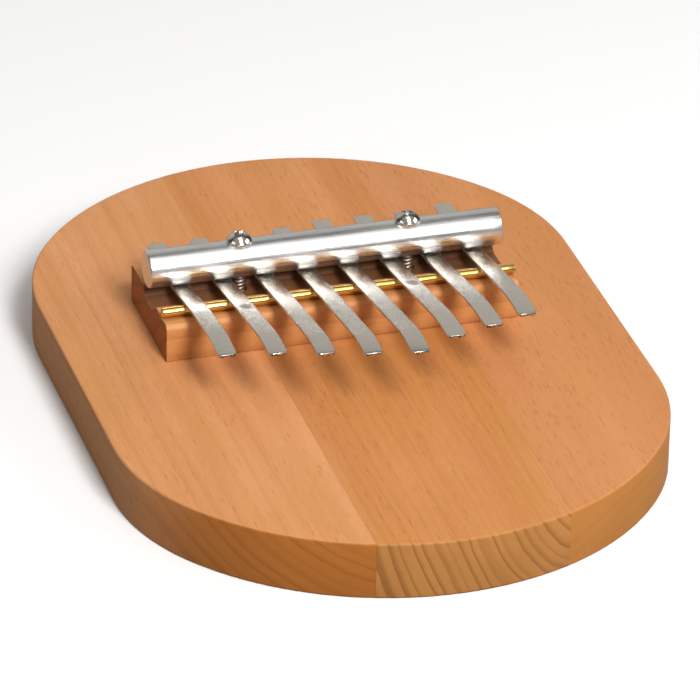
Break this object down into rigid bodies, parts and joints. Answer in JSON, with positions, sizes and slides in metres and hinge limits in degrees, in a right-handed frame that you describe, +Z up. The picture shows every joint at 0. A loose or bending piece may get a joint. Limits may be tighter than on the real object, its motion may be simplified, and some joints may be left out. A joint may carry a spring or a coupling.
{
  "type": "mbira",
  "caption": "Hand-held thumb piano: steel tines clamped by a round bar across a bridge block on a flat, rounded, edge-glued board; plucked with the thumbs.",
  "frame": {"origin": "centre of the board's underside, on the table", "axes": "+X to the player's right, +Y away from the player towards the tines' tails (the board's length), +Z up out of the board's face"},
  "size_m": [0.14, 0.2, 0.0386],
  "materials": {
    "board_beech": "thinly oiled steamed beech, satin",
    "block_beech": "planed steamed beech, satin",
    "rod_brass": "bright drawn",
    "bar_aluminium": "bright drawn, fine lengthwise lines",
    "screw_nickel": "bright nickel plate",
    "tine_steel": "rolled spring steel, satin, sheared ends"
  },
  "bodies": {
    "board": {"board_stave_left": "board_beech", "board_stave_middle": "board_beech", "board_stave_right": "board_beech", "bridge_block": "block_beech", "bridge_rod": "rod_brass", "clamp_bar": "bar_aluminium"},
    "screw_left": {"clamp_screw_left": "screw_nickel"},
    "screw_right": {"clamp_screw_right": "screw_nickel"},
    "tine_1": {"tine_1_root": "tine_steel"},
    "tine_1_free": {"tine_1_tongue": "tine_steel"},
    "tine_2": {"tine_2_root": "tine_steel"},
    "tine_2_free": {"tine_2_tongue": "tine_steel"},
    "tine_3": {"tine_3_root": "tine_steel"},
    "tine_3_free": {"tine_3_tongue": "tine_steel"},
    "tine_4": {"tine_4_root": "tine_steel"},
    "tine_4_free": {"tine_4_tongue": "tine_steel"},
    "tine_5": {"tine_5_root": "tine_steel"},
    "tine_5_free": {"tine_5_tongue": "tine_steel"},
    "tine_6": {"tine_6_root": "tine_steel"},
    "tine_6_free": {"tine_6_tongue": "tine_steel"},
    "tine_7": {"tine_7_root": "tine_steel"},
    "tine_7_free": {"tine_7_tongue": "tine_steel"},
    "tine_8": {"tine_8_root": "tine_steel"},
    "tine_8_free": {"tine_8_tongue": "tine_steel"}
  },
  "joints": [
    {"name": "screw_left_turn", "type": "hinge", "parent": "board", "child": "screw_left", "pos_m": [-0.0225, 0.0196, 0.0363], "axis": [0, 0, 1], "continuous": true},
    {"name": "screw_right_turn", "type": "hinge", "parent": "board", "child": "screw_right", "pos_m": [0.0215, 0.0196, 0.0363], "axis": [0, 0, 1], "continuous": true},
    {"name": "tine_1_tuning", "type": "slide", "parent": "board", "child": "tine_1", "axis": [0, 0.9954, -0.0958], "range_m": [-0.001, 0.001]},
    {"name": "tine_1_flex", "type": "hinge", "parent": "tine_1", "child": "tine_1_free", "pos_m": [-0.03803, 0.0062, 0.02783], "axis": [1, 0, 0], "range_deg": [-3, 8], "stiffness_Nm_per_rad": 2},
    {"name": "tine_2_tuning", "type": "slide", "parent": "board", "child": "tine_2", "axis": [0, 0.9954, -0.0958], "range_m": [-0.001, 0.001]},
    {"name": "tine_2_flex", "type": "hinge", "parent": "tine_2", "child": "tine_2_free", "pos_m": [-0.02707, 0.0062, 0.02783], "axis": [1, 0, 0], "range_deg": [-3, 8], "stiffness_Nm_per_rad": 2},
    {"name": "tine_3_tuning", "type": "slide", "parent": "board", "child": "tine_3", "axis": [0, 0.9954, -0.0958], "range_m": [-0.001, 0.001]},
    {"name": "tine_3_flex", "type": "hinge", "parent": "tine_3", "child": "tine_3_free", "pos_m": [-0.01613, 0.0062, 0.02783], "axis": [1, 0, 0], "range_deg": [-3, 8], "stiffness_Nm_per_rad": 2},
    {"name": "tine_4_tuning", "type": "slide", "parent": "board", "child": "tine_4", "axis": [0, 0.9954, -0.0958], "range_m": [-0.001, 0.001]},
    {"name": "tine_4_flex", "type": "hinge", "parent": "tine_4", "child": "tine_4_free", "pos_m": [-0.00517, 0.0062, 0.02783], "axis": [1, 0, 0], "range_deg": [-3, 8], "stiffness_Nm_per_rad": 2},
    {"name": "tine_5_tuning", "type": "slide", "parent": "board", "child": "tine_5", "axis": [0, 0.9954, -0.0958], "range_m": [-0.001, 0.001]},
    {"name": "tine_5_flex", "type": "hinge", "parent": "tine_5", "child": "tine_5_free", "pos_m": [0.00577, 0.0062, 0.02783], "axis": [1, 0, 0], "range_deg": [-3, 8], "stiffness_Nm_per_rad": 2},
    {"name": "tine_6_tuning", "type": "slide", "parent": "board", "child": "tine_6", "axis": [0, 0.9954, -0.0958], "range_m": [-0.001, 0.001]},
    {"name": "tine_6_flex", "type": "hinge", "parent": "tine_6", "child": "tine_6_free", "pos_m": [0.01673, 0.0062, 0.02783], "axis": [1, 0, 0], "range_deg": [-3, 8], "stiffness_Nm_per_rad": 2},
    {"name": "tine_7_tuning", "type": "slide", "parent": "board", "child": "tine_7", "axis": [0, 0.9954, -0.0958], "range_m": [-0.001, 0.001]},
    {"name": "tine_7_flex", "type": "hinge", "parent": "tine_7", "child": "tine_7_free", "pos_m": [0.02768, 0.0062, 0.02783], "axis": [1, 0, 0], "range_deg": [-3, 8], "stiffness_Nm_per_rad": 2},
    {"name": "tine_8_tuning", "type": "slide", "parent": "board", "child": "tine_8", "axis": [0, 0.9954, -0.0958], "range_m": [-0.001, 0.001]},
    {"name": "tine_8_flex", "type": "hinge", "parent": "tine_8", "child": "tine_8_free", "pos_m": [0.03862, 0.0062, 0.02783], "axis": [1, 0, 0], "range_deg": [-3, 8], "stiffness_Nm_per_rad": 2}
  ]
}
